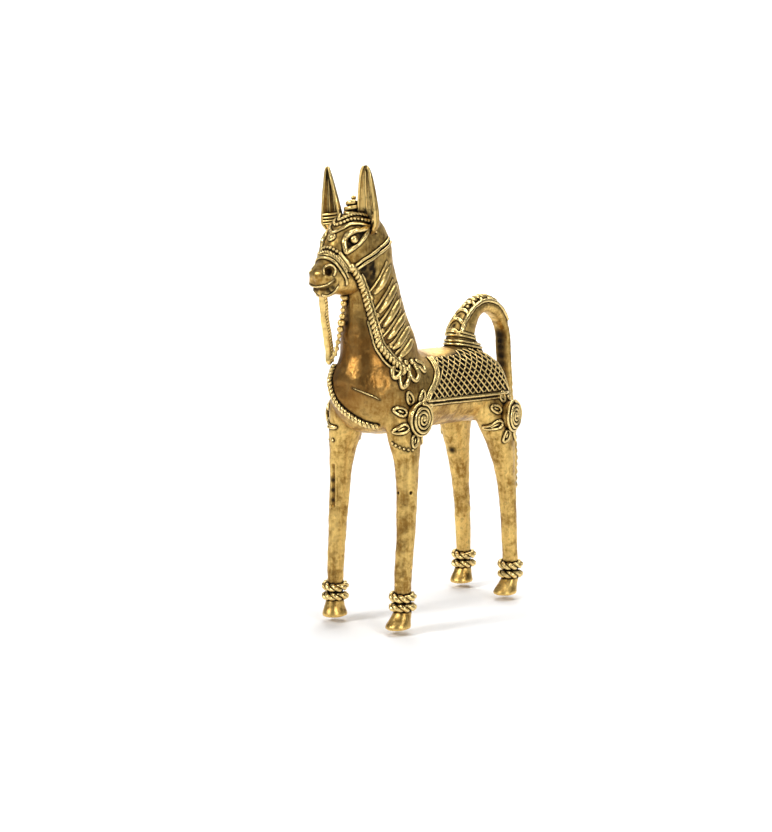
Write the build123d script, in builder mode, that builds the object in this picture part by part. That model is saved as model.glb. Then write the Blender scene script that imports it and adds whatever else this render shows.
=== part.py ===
from build123d import *
import math
import os

# Brass horse figurine, cast by the lost-wax method over a clay core.
# Millimetres, +Z up, the horse faces -Y, its left side is +X, and the origin
# lies on the floor under the middle of its whole length.

# Driving sizes of the body
body_length = 92.0
chest_front = -46.2
body_half_width = 15.6
body_half_height = 15.0
body_mid_height = 84.2
wall = 2.2
muzzle_lead = 1.4

# Driving sizes of the neck and head
neck_foot_height = 84.0
neck_height = 48.0
neck_foot_y = -26.5
neck_reach = 7.0
neck_half_width = 12.6
neck_half_depth = 17.2
skull_height = 19.0
skull_half_width = 8.0
skull_half_depth = 10.4
face_length = 27.5
face_half_width = 8.4
face_half_depth = 14.0
face_start_y = -38.0
face_start_z = 142.0
face_pitch = 35.5

# Driving sizes of the ears, eyes and top-knot
ear_length = 20.5
ear_half_width = 4.9
ear_half_thick = 1.9
ear_spread = 7.2
ear_tip_spread = 9.0
ear_foot_y = -40.4
ear_foot_z = 146.0
ear_tip_y = -44.6
ear_turn = 10.0
ear_right_forward = 3.2
ear_hollow_share = 0.8
eye_radius = 1.5
eye_y = -46.6
eye_z = 141.4
eye_spread = 5.9
eye_shift = -0.9
eye_length = 9.4
eye_height = 7.0
eye_rim_share = 0.72
nose_bead_y = -53.2
nose_bead_z = 140.6
topknot_y = -41.6
topknot_z = 151.4
topknot_radius = 3.4

# Driving sizes of the legs and feet
leg_height = 86.0
leg_radius = 3.2
front_stance = 15.3
hind_stance = 13.0
front_left_sole_y = -34.6
front_right_sole_y = -34.8
hind_left_sole_y = 34.6
hind_right_sole_y = 40.2
front_left_ankle_y = -32.0
front_right_ankle_y = -34.6
hind_left_ankle_y = 38.0
hind_right_ankle_y = 41.6
front_left_top_y = -27.6
front_right_top_y = -31.0
hind_left_top_y = 27.0
hind_right_top_y = 31.0
front_leg_inset = 6.2
hind_leg_inset = 5.0
hoof_height = 5.4
hoof_half_width = 4.35
hoof_half_length = 5.0
anklet_height = 4.0
anklet_thick = 1.25
ring_gap = 0.1

# Driving sizes of the tail
tail_half_width = 3.6
tail_half_thick = 2.1
tail_root_y = 21.6
tail_root_z = 95.0
tail_rise = 19.4
tail_reach = 28.6
tail_drop = 79.0

# Driving sizes of the rosettes
rosette_radius = 6.2
rosette_front_height = 76.0
rosette_front_y = -25.6
rosette_hind_height = 71.8
rosette_hind_y = 32.6
rosette_hind_turn = 12.0
petal_count = 8
petal_length = 5.0
petal_half_width = 1.75
petal_start = 22.5
petal_thick = 1.5
petal_reach = 14.0
coil_radius = 0.5
coil_pitch = 1.5
coil_turns = 3
rosette_depth = 4.5
rosette_front_spread = 19.4
rosette_hind_spread = 18.6

# Driving sizes of the blanket
hem_height = 81.6
blanket_front_y = -18.5
blanket_rear_y = 34.0
blanket_top_height = 97.0

# Driving sizes of the reins
bit_y = -50.6
bit_z = 131.4
rein_spread = 16.8
rein_reach = 24.0
rein_drop = 41.0
knot_leaves = 4
wire_radius = 0.45
crest_width = 4.0

# Wax threads, ropes and beads
thread = 0.7
rope_radius = 1.0
rein_radius = 1.2
bead_radius = 1.15
seat = 0.25

section_points = 12
fullness = 0.92

os.makedirs("parts", exist_ok=True)


def save(piece, name):
    """Write a piece, set back by half of what the muzzle reaches further than the tail."""
    placed = piece.moved(Location((0, muzzle_lead, 0)))
    placed.label = name
    export_step(placed, "parts/" + name + ".step")


def oval(half_x, half_y):
    """Closed outline of even facets, a little fuller than an ellipse."""
    points = []
    for step in range(section_points):
        turn = math.tau * step / section_points
        along = math.copysign(abs(math.cos(turn)) ** fullness, math.cos(turn))
        up = math.copysign(abs(math.sin(turn)) ** fullness, math.sin(turn))
        points.append((half_x * along, half_y * up))
    with BuildLine() as outline:
        Polyline(*points, close=True)
    return outline.line


def form(stations, grow=0):
    """Body through oval sections, each a plane and two half sizes."""
    with BuildPart() as made:
        for plane, half_x, half_y in stations:
            with BuildSketch(plane):
                add(oval(half_x + grow, half_y + grow))
                make_face()
        loft(ruled=True)
    return made.part


# Torso: oval sections along Y, as shares of the body's length and half sizes.
# Columns: place along the body, half width, half height, lift of the middle.
torso_shares = [
    (0.0, 0.32, 0.38, 0.30),
    (0.035, 0.64, 0.70, 0.22),
    (0.10, 0.88, 0.98, 0.10),
    (0.24, 1.04, 1.05, 0.04),
    (0.48, 0.98, 0.98, 0.0),
    (0.75, 1.0, 0.975, -0.03),
    (0.86, 0.92, 0.84, -0.20),
    (0.95, 0.62, 0.62, -0.42),
    (1.0, 0.28, 0.32, -0.48),
]


def torso_stations():
    stations = []
    for along_share, width_share, height_share, lift_share in torso_shares:
        middle = (0, chest_front + along_share * body_length, body_mid_height + lift_share * body_half_height)
        plane = Plane(origin=middle, x_dir=(1, 0, 0), z_dir=(0, -1, 0))
        stations.append((plane, width_share * body_half_width, height_share * body_half_height))
    return stations[::-1]


# Neck: level oval sections. Columns: height, set forward, half width, half depth.
neck_shares = [
    (0.0, 0.0, 0.95, 0.93),
    (0.2, 0.02, 1.0, 1.0),
    (0.42, 0.16, 0.91, 0.91),
    (0.60, 0.43, 0.79, 0.765),
    (0.82, 0.74, 0.68, 0.67),
    (1.0, 0.99, 0.62, 0.60),
]


def neck_stations():
    stations = []
    for height_share, set_share, width_share, depth_share in neck_shares:
        place_y = neck_foot_y - set_share * neck_reach
        plane = Plane(origin=(0, place_y, neck_foot_height + height_share * neck_height))
        stations.append((plane, width_share * neck_half_width, depth_share * neck_half_depth))
    return stations


# Skull: level oval sections above the neck. Columns as for the neck, with the
# set forward as a share of the skull's half depth.
skull_shares = [
    (-0.15, 0.0, 1.0, 1.0),
    (0.3, 0.02, 1.0, 0.94),
    (0.63, 0.22, 0.95, 0.82),
    (0.85, 0.42, 0.76, 0.62),
    (1.0, 0.54, 0.25, 0.21),
]


def skull_stations():
    stations = []
    for height_share, set_share, width_share, depth_share in skull_shares:
        place_y = neck_foot_y - neck_reach - set_share * skull_half_depth
        place_z = neck_foot_height + neck_height + height_share * skull_height
        stations.append((Plane(origin=(0, place_y, place_z)), width_share * skull_half_width,
                         depth_share * skull_half_depth))
    return stations


# Face: oval sections square to the face's own slope. Columns: place along the
# face, half width, reach above the slope line, reach below it.
face_shares = [
    (0.0, 0.94, 0.72, 0.90),
    (0.29, 1.0, 0.70, 1.12),
    (0.60, 0.77, 0.43, 0.98),
    (0.84, 0.61, 0.32, 0.66),
    (0.95, 0.53, 0.27, 0.48),
    (1.0, 0.36, 0.16, 0.30),
]
slope = math.radians(face_pitch)
face_axis = Vector(0, -math.cos(slope), -math.sin(slope))
face_up = Vector(0, -math.sin(slope), math.cos(slope))


def face_point(along, up):
    """Point on the middle plane of the face, along its slope and square to it."""
    return Vector(0, face_start_y, face_start_z) + face_axis * along + face_up * up


def face_stations():
    stations = []
    for along_share, width_share, up_share, down_share in face_shares:
        middle = (up_share - down_share) / 2
        reach = (up_share + down_share) / 2
        origin = face_point(along_share * face_length, middle * face_half_depth)
        plane = Plane(origin=origin, x_dir=(1, 0, 0), z_dir=face_axis)
        stations.append((plane, width_share * face_half_width, reach * face_half_depth))
    return stations


# Legs. Columns: height, place between ankle and top, half width and half depth
# in leg radii. The inset is how far the leg's middle has moved inwards.
front_leg_shares = [
    (0.05, 0.0, 0.0, 0.92, 0.92),
    (0.16, 0.0, 0.0, 0.93, 0.93),
    (0.44, 0.48, 0.03, 1.09, 1.09),
    (0.66, 0.76, 0.13, 1.25, 1.33),
    (0.78, 0.88, 0.34, 1.54, 1.95),
    (0.90, 0.97, 0.68, 1.72, 2.8),
    (1.0, 1.0, 1.0, 1.60, 3.0),
]
hind_leg_shares = [
    (0.05, 0.0, 0.0, 0.88, 0.88),
    (0.16, 0.01, 0.0, 0.88, 0.9),
    (0.45, 0.19, 0.02, 1.02, 1.1),
    (0.61, 0.4, 0.07, 1.25, 1.44),
    (0.74, 0.66, 0.18, 1.58, 2.1),
    (0.87, 0.90, 0.56, 1.76, 3.4),
    (1.0, 1.0, 1.0, 1.40, 3.8),
]
front_pair = (front_stance, front_leg_inset, front_leg_shares)
hind_pair = (hind_stance, hind_leg_inset, hind_leg_shares)
# Each leg: its side, the places of sole, ankle and top along Y, and its pair's sizes
legs = {
    "front_left": (1, front_left_sole_y, front_left_ankle_y, front_left_top_y, front_pair),
    "front_right": (-1, front_right_sole_y, front_right_ankle_y, front_right_top_y, front_pair),
    "hind_left": (1, hind_left_sole_y, hind_left_ankle_y, hind_left_top_y, hind_pair),
    "hind_right": (-1, hind_right_sole_y, hind_right_ankle_y, hind_right_top_y, hind_pair),
}


def leg_stations(name):
    side, sole_y, ankle_y, top_y, (stance, inset, shares) = legs[name]
    stations = []
    for height_share, back_share, inset_share, width_share, depth_share in shares:
        place_y = ankle_y + back_share * (top_y - ankle_y)
        place_x = side * (stance - inset_share * inset)
        plane = Plane(origin=(place_x, place_y, height_share * leg_height))
        stations.append((plane, width_share * leg_radius, depth_share * leg_radius))
    return stations


# Hoof: level sections from the sole up to the ankle, flared towards the toe.
# Columns: height, place between sole and ankle, half width, half length.
hoof_shares = [
    (0.0, 0.0, 1.0, 1.0),
    (0.3, 0.08, 0.97, 0.96),
    (0.68, 0.5, 0.82, 0.78),
    (1.0, 1.0, 0.74, 0.66),
]


def hoof_stations(name):
    side, sole_y, ankle_y, top_y, (stance, inset, shares) = legs[name]
    stations = []
    for height_share, back_share, width_share, length_share in hoof_shares:
        place_y = sole_y + back_share * (ankle_y - sole_y)
        plane = Plane(origin=(side * stance, place_y, height_share * hoof_height))
        stations.append((plane, width_share * hoof_half_width, length_share * hoof_half_length))
    return stations


# Forms that the pieces are cut from. A clear form stands one seat proud of its
# body, and what lies on that body is cut by it.
torso_form = form(torso_stations())
neck_form = form(neck_stations())
skull_form = form(skull_stations())
face_form = form(face_stations())
torso_clear = form(torso_stations(), seat)
neck_clear = form(neck_stations(), seat)
skull_clear = form(skull_stations(), seat)
face_clear = form(face_stations(), seat)
leg_forms = {name: form(leg_stations(name)) for name in legs}
leg_clears = {name: form(leg_stations(name), seat) for name in legs}
hoof_forms = {name: form(hoof_stations(name)) for name in legs}


def joined(pieces):
    """Several forms as one."""
    with BuildPart() as made:
        for piece in pieces:
            add(piece)
    return made.part


def largest(piece):
    return piece.solids().sort_by(SortBy.VOLUME)[-1]


def cut_clear(piece, bodies):
    """A piece without what it shares with the bodies that it lies on."""
    with BuildPart() as made:
        add(piece)
        for body in bodies:
            add(body, mode=Mode.SUBTRACT)
    return made.part


def raised(skin, outlines, bodies, side=0, without=()):
    """Bands one thread thick on one side of the bodies (1 left, -1 right) or on both
    (0), inside closed outlines drawn from the side and outside the others."""
    with BuildPart() as made:
        with BuildSketch(Plane.YZ):
            for outline in outlines:
                with BuildLine():
                    Polyline(*outline, close=True)
                make_face()
            for outline in without:
                with BuildLine():
                    Polyline(*outline, close=True)
                make_face(mode=Mode.SUBTRACT)
        extrude(amount=(side or 1) * side_reach, both=side == 0)
        add(skin, mode=Mode.INTERSECT)
        for body in bodies:
            add(body, mode=Mode.SUBTRACT)
    return made.part


def strip(points, width):
    """Closed outline of a band of even width along points of the side view."""
    upper = []
    lower = []
    for place, point in enumerate(points):
        before = points[max(place - 1, 0)]
        after = points[min(place + 1, len(points) - 1)]
        run_y = after[0] - before[0]
        run_z = after[1] - before[1]
        length = math.hypot(run_y, run_z)
        shift_y = -run_z / length * width / 2
        shift_z = run_y / length * width / 2
        upper.append((point[0] + shift_y, point[1] + shift_z))
        lower.append((point[0] - shift_y, point[1] - shift_z))
    return upper + lower[::-1]


def rod(points, radius):
    """Round rod along points, with an arc at each corner."""
    corners = []
    for before, point, after in zip(points, points[1:], points[2:]):
        run_in = Vector(*point) - Vector(*before)
        run_out = Vector(*after) - Vector(*point)
        turn = math.radians(run_in.get_angle(run_out))
        corners.append(corner_share * min(run_in.length, run_out.length) / math.tan(turn / 2))
    with BuildPart() as made:
        with BuildLine() as path:
            FilletPolyline(*points, radius=corners)
        with BuildSketch(Plane(origin=path.line @ 0, z_dir=path.line % 0)):
            Circle(radius)
        sweep()
    return made.part


corner_share = 0.45
band_width = 2.2 * thread
side_reach = 2 * body_half_width
sides = {"left": 1, "right": -1}
ring_shares = [0.5, 1.5]


with BuildPart() as clay_core:
    add(form(torso_stations()[1:-1], -wall - seat))
    add(form(neck_stations()[:-1], -wall - seat))
save(clay_core.part, "clay_core")

hollow = joined([form(torso_stations()[1:-1], -wall), form(neck_stations()[:-1], -wall)])
torso = cut_clear(torso_form, [hollow])
save(torso, "torso")
neck = cut_clear(neck_form, [torso_clear, hollow])
save(neck, "neck")
head = cut_clear(joined([skull_form, face_form]), [neck_clear])
save(head, "head")

for name in legs:
    leg = cut_clear(leg_forms[name], [torso_clear])
    leg = largest(leg)
    with BuildPart() as shank:
        add(leg)
        split(bisect_by=Plane.XY.offset(hoof_height + seat), keep=Keep.TOP)
    save(shank.part, "leg_" + name)
    save(hoof_forms[name], "hoof_" + name)

# Tail: a flat band that rises from the rump, arches over and falls behind the
# hind legs. Columns: back and up (or down), half width, half thickness.
arch_shares = [
    (0.03, 0.0, 2.0, 5.2),
    (0.02, 0.16, 1.65, 4.2),
    (0.01, 0.36, 1.3, 3.1),
    (0.09, 0.63, 1.14, 2.45),
    (0.25, 0.887, 1.05, 1.75),
    (0.46, 1.0, 1.0, 1.4),
    (0.68, 0.93, 1.0, 1.25),
    (0.86, 0.71, 1.0, 1.1),
    (0.97, 0.37, 1.0, 1.0),
]
fall_shares = [
    (1.0, 0.245, 0.98, 0.98),
    (1.035, 0.37, 0.95, 0.95),
    (1.09, 0.51, 0.9, 0.9),
    (1.154, 0.65, 0.86, 0.88),
    (1.196, 0.79, 0.8, 0.82),
    (1.21, 0.90, 0.72, 0.78),
    (1.217, 1.0, 0.55, 0.65),
]


def tail_points():
    points = []
    for back_share, up_share, width_share, thick_share in arch_shares:
        points.append((tail_root_y + back_share * tail_reach, tail_root_z + up_share * tail_rise,
                       width_share, thick_share))
    for back_share, down_share, width_share, thick_share in fall_shares:
        points.append((tail_root_y + back_share * tail_reach, tail_root_z + tail_rise - down_share * tail_drop,
                       width_share, thick_share))
    return points


def tail_frames():
    """Place, direction and half sizes at each station of the tail."""
    points = tail_points()
    frames = []
    for place, (back, up, width_share, thick_share) in enumerate(points):
        before = points[max(place - 1, 0)]
        after = points[min(place + 1, len(points) - 1)]
        direction = Vector(0, after[0] - before[0], after[1] - before[1]).normalized()
        frames.append((Vector(0, back, up), direction, width_share * tail_half_width, thick_share * tail_half_thick))
    return frames


def tail_stations():
    stations = []
    for middle, direction, half_x, half_y in tail_frames():
        stations.append((Plane(origin=middle, x_dir=(1, 0, 0), z_dir=direction), half_x, half_y))
    return stations


tail_form = form(tail_stations())
tail_clear = form(tail_stations(), seat)
save(largest(cut_clear(tail_form, [torso_clear])), "tail")

# Rope along the outside of the tail, from the top of the arch to the end
rope_stations = []
for middle, direction, half_x, half_y in tail_frames()[4:]:
    outward = Vector(0, -direction.Z, direction.Y)
    plane = Plane(origin=middle + outward * half_y, x_dir=(1, 0, 0), z_dir=direction)
    rope_stations.append((plane, rope_radius, rope_radius))
tail_rope = cut_clear(form(rope_stations), [tail_clear])
save(tail_rope, "tail_rope")

# Doubled threads round the foot of the tail, and cross threads up its front
tail_skin = form(tail_stations(), thread)
foot_band_shares = [[(-0.36, 0.33), (-0.1, 0.36), (0.12, 0.36), (0.4, 0.28)],
                    [(-0.42, 0.19), (-0.1, 0.23), (0.16, 0.22), (0.5, 0.12)]]
rung_shares = [[(-0.22, 0.52), (0.02, 0.47), (0.3, 0.47)],
               [(-0.18, 0.68), (0.06, 0.6), (0.32, 0.56)],
               [(0.0, 0.8), (0.1, 0.74), (0.34, 0.66)]]


def tail_strips(tables, width):
    strips = []
    for table in tables:
        points = [(tail_root_y + back * tail_reach, tail_root_z + up * tail_rise) for back, up in table]
        strips.append(strip(points, width))
    return strips


tail_bodies = [tail_clear, torso_clear]
save(raised(tail_skin, tail_strips(foot_band_shares, band_width), tail_bodies), "tail_foot_bands")
save(raised(tail_skin, tail_strips(rung_shares, thread), tail_bodies), "tail_rungs")

# Skins one thread thick over the body, from which raised bands are cut
torso_skin = form(torso_stations(), thread + seat)
neck_skin = form(neck_stations(), thread + seat)
head_skin = joined([form(skull_stations(), thread + seat), form(face_stations(), thread + seat)])
head_bodies = [skull_clear, face_clear, neck_clear]

# Blanket: a field of crossing threads on each flank, with a border in front, at
# the hem and over the rump.
blanket_length = blanket_rear_y - blanket_front_y
blanket_drop = blanket_top_height - hem_height
front_border_shares = [(0.0, 0.0), (0.04, 0.23), (0.1, 0.4), (0.155, 0.57), (0.18, 0.74), (0.196, 1.0)]
rear_border_shares = [(1.0, 0.0), (0.97, 0.3), (0.94, 0.6), (0.88, 0.84), (0.82, 1.0)]
hem_shares = [(-0.02, -0.04), (0.5, -0.02), (1.02, -0.05)]


def on_flank(shares):
    return [(blanket_front_y + along * blanket_length, hem_height + up * blanket_drop) for along, up in shares]


front_border = on_flank(front_border_shares)
rear_border = on_flank(rear_border_shares)
hem_line = on_flank(hem_shares)
field = front_border + rear_border[::-1]
apart = band_width + 2 * seat
ends = [strip(front_border, apart), strip(rear_border, apart)]
blankets = {}
for label, side in sides.items():
    legs_there = [leg_clears[name] for name in legs if legs[name][0] == side]
    flank = [torso_clear, neck_clear]
    save(raised(torso_skin, [strip(front_border, band_width)], flank, side), "blanket_front_border_" + label)
    save(raised(torso_skin, [strip(rear_border, band_width)], [torso_clear, tail_clear], side),
         "blanket_rear_border_" + label)
    field_piece = largest(raised(torso_skin, [field], [*flank, tail_clear], side, [*ends, strip(hem_line, apart)]))
    save(field_piece, "blanket_field_" + label)
    hem = largest(raised(torso_skin, [strip(hem_line, band_width)], [torso_clear, *legs_there], side, ends))
    save(hem, "blanket_hem_" + label)
    blankets[side] = [field_piece, hem]

# Rosettes: a disc on the shoulder or hip, a coiled thread on it, and leaf loops
# around it.
disc_radius = rosette_radius - coil_radius
coil_step = 0.5 * coil_pitch
leaf_shares = [(-1, 0), (-0.55, 0.7), (0.05, 1), (0.6, 0.65), (1, 0), (0.6, -0.65), (0.05, -1), (-0.55, -0.7)]


def rosette_plane(name):
    """Face of the rosette's disc, looking outwards."""
    side = legs[name][0]
    if name.startswith("front"):
        shift_y = legs[name][3] - front_left_top_y
        outward = Vector(side, 0, 0)
        middle = Vector(side * rosette_front_spread, rosette_front_y + shift_y, rosette_front_height)
    else:
        shift_y = legs[name][3] - hind_left_top_y
        turn = math.radians(rosette_hind_turn)
        outward = Vector(side * math.cos(turn), math.sin(turn), 0)
        middle = Vector(side * rosette_hind_spread, rosette_hind_y + shift_y, rosette_hind_height)
    return Plane(origin=middle, x_dir=(0, 0, 1), z_dir=outward)


def coil(plane):
    """Flat coil of thread, in half turns that step inwards."""
    with BuildPart() as made:
        with BuildLine(plane) as path:
            radius = rosette_radius - 2 * coil_radius
            middle = 0
            for turn in range(2 * coil_turns):
                CenterArc((middle, 0), radius, 180 * (turn % 2), 180)
                middle += coil_step if turn % 2 else -coil_step
                radius -= coil_step
        thread_line = path.wires()[0]
        print("coil: least gap to itself", round(least_gap(thread_line, coil_radius), 2))
        with BuildSketch(Plane(origin=thread_line @ 0, z_dir=thread_line % 0)):
            Circle(coil_radius)
        sweep(path=thread_line)
        with BuildSketch(plane):
            Circle(rosette_radius)
        extrude(amount=-coil_radius, mode=Mode.SUBTRACT)
    return made.part


def leaf(half_length, half_width):
    """Corners of a pointed leaf along its own X axis."""
    corners = []
    for along_share, wide_share in leaf_shares:
        corners.append((along_share * half_length, wide_share * half_width))
    return corners


def leaf_loops(plane, inner_radius, count, skin, bodies):
    """Ring of leaf loops, raised on the skin of the bodies behind the plane."""
    with BuildPart() as made:
        for margin, mode in ((0, Mode.ADD), (thread, Mode.SUBTRACT)):
            with BuildSketch(plane):
                with PolarLocations(inner_radius + petal_length / 2, count, start_angle=petal_start):
                    Polygon(*leaf(petal_length / 2 - margin, petal_half_width - margin), align=None)
            extrude(amount=-petal_reach, mode=mode)
        add(skin, mode=Mode.INTERSECT)
        for body in bodies:
            add(body, mode=Mode.SUBTRACT)
    return made.part


def least_gap(wire, radius):
    """Least space that a round thread along a wire leaves to its other turns."""
    places = [wire @ (place / gap_places) for place in range(gap_places + 1)]
    near = 4 * radius
    step = wire.length / gap_places
    gaps = []
    for first, start in enumerate(places):
        for later, end in enumerate(places[first + 1:]):
            if (later + 1) * step > 2 * near:
                gaps.append((end - start).length - 2 * radius)
    return min(gaps)


gap_places = 240
shoulder_skin = form(torso_stations(), petal_thick + seat)
rosette_petals = {}
for name in legs:
    plane = rosette_plane(name)
    side, sole_y, ankle_y, top_y, (stance, inset, shares) = legs[name]
    bodies = [torso_clear, leg_clears[name]]
    with BuildPart() as disc:
        with BuildSketch(plane):
            Circle(disc_radius)
        extrude(amount=-rosette_depth)
        for body in bodies:
            add(body, mode=Mode.SUBTRACT)
    save(largest(disc.part), "rosette_disc_" + name)
    save(coil(plane), "rosette_coil_" + name)
    skin = joined([shoulder_skin, form(leg_stations(name), petal_thick + seat)])
    rosette_petals[name] = leaf_loops(plane, rosette_radius, petal_count, skin, [*bodies, *blankets[side]])
    save(rosette_petals[name], "rosette_petals_" + name)

    # Two wound rings round the ankle
    with BuildPart() as rings:
        for share in ring_shares:
            place = Vector(side * stance, ankle_y, hoof_height + seat + share * anklet_height)
            with BuildSketch(Plane(origin=place, x_dir=(1, 0, 0), z_dir=(0, -1, 0))):
                with Locations((leg_radius, 0)):
                    Ellipse(anklet_thick, anklet_height / 2 - ring_gap)
            revolve(axis=Axis(place, (0, 0, 1)))
        with BuildSketch(Plane.XY.offset(hoof_height)):
            with Locations((side * stance, ankle_y)):
                Circle(leg_radius)
        extrude(amount=3 * anklet_height, mode=Mode.SUBTRACT)
    save(rings.part, "anklet_" + name)

# Ears: hollowed leaves
ear_shares = [(0.0, 0.80, 1.15), (0.22, 1.0, 1.05), (0.5, 0.86, 0.9), (0.78, 0.60, 0.72), (1.0, 0.16, 0.26)]


def ear_stations(side, forward, trim_share):
    foot = Vector(side * ear_spread, ear_foot_y - (ear_right_forward if side < 0 else 0), ear_foot_z)
    tip = Vector(side * ear_tip_spread, ear_tip_y, ear_foot_z + ear_length)
    turn = math.radians(ear_turn) * side
    facing = Vector(math.sin(turn), -math.cos(turn), 0)
    axis = (tip - foot).normalized()
    across = axis.cross(facing).normalized()
    stations = []
    for along_share, width_share, thick_share in ear_shares:
        middle = foot + (tip - foot) * along_share + facing * forward
        plane = Plane(origin=middle, x_dir=across, z_dir=axis)
        stations.append((plane, width_share * ear_half_width * trim_share, thick_share * ear_half_thick * trim_share))
    return stations


def neck_line(shares):
    """Points of the side view as shares of the neck: back from its foot, and up."""
    points = []
    for back_share, up_share in shares:
        points.append((neck_foot_y + back_share * neck_half_depth, neck_foot_height + up_share * neck_height))
    return points


# Bands on the head and neck, as points of the side view
browband_shares = [(-1.46, 1.19), (-1.39, 1.27), (-1.27, 1.32), (-1.11, 1.35), (-0.95, 1.355), (-0.8, 1.345),
                   (-0.67, 1.32)]
noseband_shares = [(-1.72, 1.09), (-1.66, 1.065), (-1.55, 1.02), (-1.42, 0.965), (-1.33, 0.91), (-1.28, 0.85)]
cheek_shares = [(-1.585, 1.13), (-1.53, 1.085), (-1.45, 1.04), (-1.38, 1.005)]
headstall_shares = [(-1.26, 0.985), (-0.99, 1.015), (-0.59, 1.075), (-0.29, 1.142), (-0.07, 1.183), (0.05, 1.2)]
crest_shares = [(0.87, 0.37), (0.59, 0.60), (0.37, 0.81), (0.24, 0.97)]
lock_shares = [[(-0.75, 0.746), (-0.587, 0.84), (-0.39, 0.965)],
               [(-0.669, 0.598), (-0.436, 0.69), (-0.209, 0.783), (-0.023, 0.833)],
               [(-0.622, 0.471), (-0.343, 0.56), (0.023, 0.66)],
               [(-0.459, 0.394), (-0.221, 0.465), (0.116, 0.533)]]
eye_shares = [(-0.42, -0.5), (-0.48, 0.05), (-0.3, 0.36), (0.1, 0.5), (0.52, 0.45), (0.2, 0.02), (-0.15, -0.3)]
headstall = strip(neck_line(headstall_shares), band_width)
noseband = strip(neck_line(noseband_shares), band_width)
browband = strip(neck_line(browband_shares), band_width)
noseband_piece = raised(head_skin, [noseband], head_bodies)
save(noseband_piece, "noseband")
save(raised(head_skin, [headstall], head_bodies), "headstall")
save(raised(neck_skin, [strip(neck_line(crest_shares), crest_width)], [neck_clear, torso_clear]), "mane_crest")
locks = [strip(neck_line(table), band_width) for table in lock_shares]
save(raised(neck_skin, locks, [neck_clear, torso_clear, head]), "mane_locks")
strap = strip(neck_line(cheek_shares), 2 * band_width)
save(raised(head_skin, [strap], head_bodies, 0, [strip(neck_line(noseband_shares), apart)]), "cheek_straps")


def eye_outline(trim_share):
    return [(eye_y + along * eye_length * trim_share, eye_z + up * eye_height * trim_share)
            for along, up in eye_shares]


def beads(places, radius, bodies):
    with BuildPart() as made:
        with Locations(*places):
            Sphere(radius)
        for body in bodies:
            add(body, mode=Mode.SUBTRACT)
    return made.part


eye_openings = [eye_outline(eye_rim_share), strip(neck_line(browband_shares), apart)]
save(raised(head_skin, [eye_outline(1)], head_bodies, 0, eye_openings), "eye_rims")
eye_places = [(side * eye_spread, eye_y + eye_shift, eye_z) for side in sides.values()]
save(beads(eye_places, eye_radius, head_bodies), "eyeballs")
save(beads([(0, nose_bead_y, nose_bead_z)], bead_radius, [face_clear]), "nose_bead")

ears = []
for label, side in sides.items():
    with BuildPart() as ear:
        add(form(ear_stations(side, 0, 1)))
        add(form(ear_stations(side, ear_half_thick, ear_hollow_share)[1:]), mode=Mode.SUBTRACT)
        for body in head_bodies:
            add(body, mode=Mode.SUBTRACT)
    ears.append(largest(ear.part))
    save(ears[-1], "ear_" + label)

# Top-knot between the ears
topknot_shares = [(-0.9, 0.9), (0.1, 1.0), (0.55, 0.8), (0.9, 0.4)]
knot_stations = []
for up_share, width_share in topknot_shares:
    plane = Plane(origin=(0, topknot_y, topknot_z + up_share * topknot_radius))
    knot_stations.append((plane, width_share * topknot_radius, width_share * topknot_radius))
topknot = largest(cut_clear(form(knot_stations), [*head_bodies, *ears]))
save(topknot, "topknot")
save(raised(head_skin, [browband], [*head_bodies, *ears, topknot]), "browband")

# Reins and ropes, as shares of the reins' spread, reach and drop. Columns: to
# the side, back from the bit, down from the bit.
rein_left_shares = [(0.41, 0.03, 0.015), (0.405, 0.17, 0.10), (0.36, 0.33, 0.207), (0.41, 0.39, 0.35),
                    (0.475, 0.425, 0.45), (0.55, 0.46, 0.556), (0.613, 0.50, 0.685), (0.68, 0.57, 0.75),
                    (0.74, 0.67, 0.82), (0.82, 0.79, 0.875), (0.91, 0.90, 0.915)]
rein_right_shares = [(-0.415, 0.0, 0.08), (-0.42, 0.0, 0.2), (-0.417, 0.04, 0.337), (-0.464, 0.096, 0.46),
                     (-0.518, 0.18, 0.585), (-0.565, 0.26, 0.688), (-0.605, 0.32, 0.785), (-0.602, 0.314, 0.853)]
breast_rope_shares = [(-0.60, 0.31, 0.863), (-0.56, 0.258, 0.973), (-0.435, 0.228, 1.078), (-0.29, 0.222, 1.17),
                      (-0.143, 0.256, 1.239), (0.024, 0.31, 1.298), (0.185, 0.38, 1.344), (0.351, 0.46, 1.38),
                      (0.53, 0.517, 1.415)]
strand_shares = [(-0.12, 0.29, 0.278), (-0.14, 0.275, 0.359), (-0.167, 0.265, 0.463), (-0.2, 0.235, 0.602),
                 (-0.226, 0.215, 0.67), (-0.268, 0.20, 0.76), (-0.40, 0.24, 0.80), (-0.53, 0.29, 0.82)]


def rein_points(shares):
    return [(side_share * rein_spread, bit_y + back_share * rein_reach, bit_z - down_share * rein_drop)
            for side_share, back_share, down_share in shares]


front_bodies = [torso_clear, neck_clear, skull_clear, face_clear]
rein_bodies = [*front_bodies, noseband_piece]
save(largest(cut_clear(rod(rein_points(rein_left_shares), rein_radius), rein_bodies)), "rein_left")
rein_right = largest(cut_clear(rod(rein_points(rein_right_shares), rein_radius), rein_bodies))
save(rein_right, "rein_right")
breast_rope = rod(rein_points(breast_rope_shares), rope_radius)
save(largest(cut_clear(breast_rope, [*front_bodies, leg_clears["front_left"]])), "breast_rope")
with BuildPart() as strand:
    add(rod(rein_points(strand_shares), wire_radius))
    with Locations(*rein_points(strand_shares)[:-2]):
        Sphere(bead_radius)
save(largest(cut_clear(strand.part, [*front_bodies, rein_right])), "bead_strand")

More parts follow.
